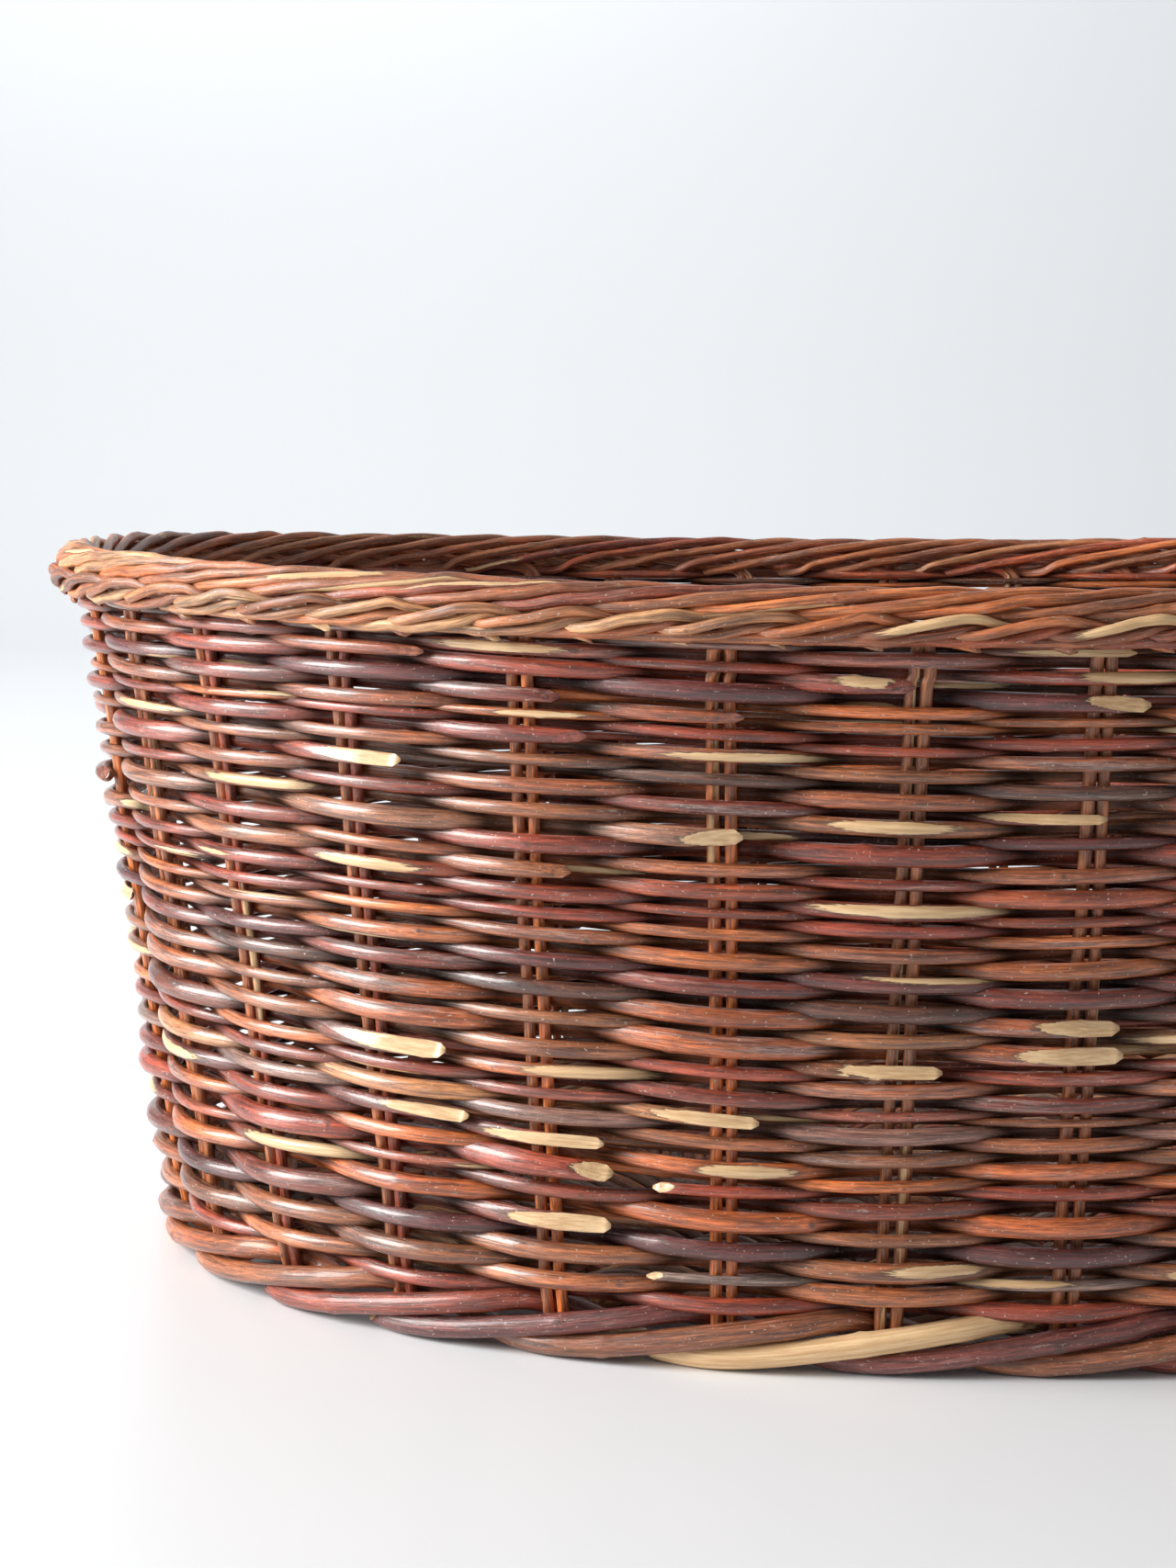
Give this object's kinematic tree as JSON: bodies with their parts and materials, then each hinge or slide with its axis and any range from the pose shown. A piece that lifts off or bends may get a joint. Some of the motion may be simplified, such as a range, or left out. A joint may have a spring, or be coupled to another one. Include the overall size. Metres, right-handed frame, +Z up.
{
  "type": "wicker basket",
  "caption": "Deep oval willow basket with a flat woven base, upright stake pairs, plain woven sides, a heavy wale foot and a rolled border; open at the top.",
  "frame": {"origin": "on the floor, at the middle of the oval base: the bottom centre of the bounding box", "axes": "+Z up out of the open top, +X along the oval's length, +Y across its width"},
  "size_m": [0.674, 0.4946, 0.2535],
  "materials": {
    "base_stick_willow": "satin",
    "base_weave_willow": "satin",
    "stake_willow": "satin",
    "foot_willow": "satin",
    "side_willow": "satin",
    "border_willow": "satin"
  },
  "bodies": {
    "root": {"long_stick_1": "base_stick_willow", "long_stick_2": "base_stick_willow", "long_stick_3": "base_stick_willow", "long_stick_4": "base_stick_willow", "long_stick_5": "base_stick_willow", "long_stick_6": "base_stick_willow", "long_stick_7": "base_stick_willow", "cross_stick_1": "base_stick_willow", "cross_stick_2": "base_stick_willow", "cross_stick_3": "base_stick_willow", "cross_stick_4": "base_stick_willow", "cross_stick_5": "base_stick_willow", "cross_stick_6": "base_stick_willow", "cross_stick_7": "base_stick_willow", "cross_stick_8": "base_stick_willow", "cross_stick_9": "base_stick_willow", "base_weave": "base_weave_willow", "stake_pair_1": "stake_willow", "stake_pair_2": "stake_willow", "stake_pair_3": "stake_willow", "stake_pair_4": "stake_willow", "stake_pair_5": "stake_willow", "stake_pair_6": "stake_willow", "stake_pair_7": "stake_willow", "stake_pair_8": "stake_willow", "stake_pair_9": "stake_willow", "stake_pair_10": "stake_willow", "stake_pair_11": "stake_willow", "stake_pair_12": "stake_willow", "stake_pair_13": "stake_willow", "stake_pair_14": "stake_willow", "stake_pair_15": "stake_willow", "stake_pair_16": "stake_willow", "stake_pair_17": "stake_willow", "stake_pair_18": "stake_willow", "stake_pair_19": "stake_willow", "stake_pair_20": "stake_willow", "stake_pair_21": "stake_willow", "stake_pair_22": "stake_willow", "stake_pair_23": "stake_willow", "stake_pair_24": "stake_willow", "stake_pair_25": "stake_willow", "stake_pair_26": "stake_willow", "stake_pair_27": "stake_willow", "stake_pair_28": "stake_willow", "stake_pair_29": "stake_willow", "stake_pair_30": "stake_willow", "stake_pair_31": "stake_willow", "stake_pair_32": "stake_willow", "foot_wale": "foot_willow", "side_weave_lower": "side_willow", "side_weave_middle": "side_willow", "side_weave_upper": "side_willow", "rim_border": "border_willow"}
  },
  "joints": []
}
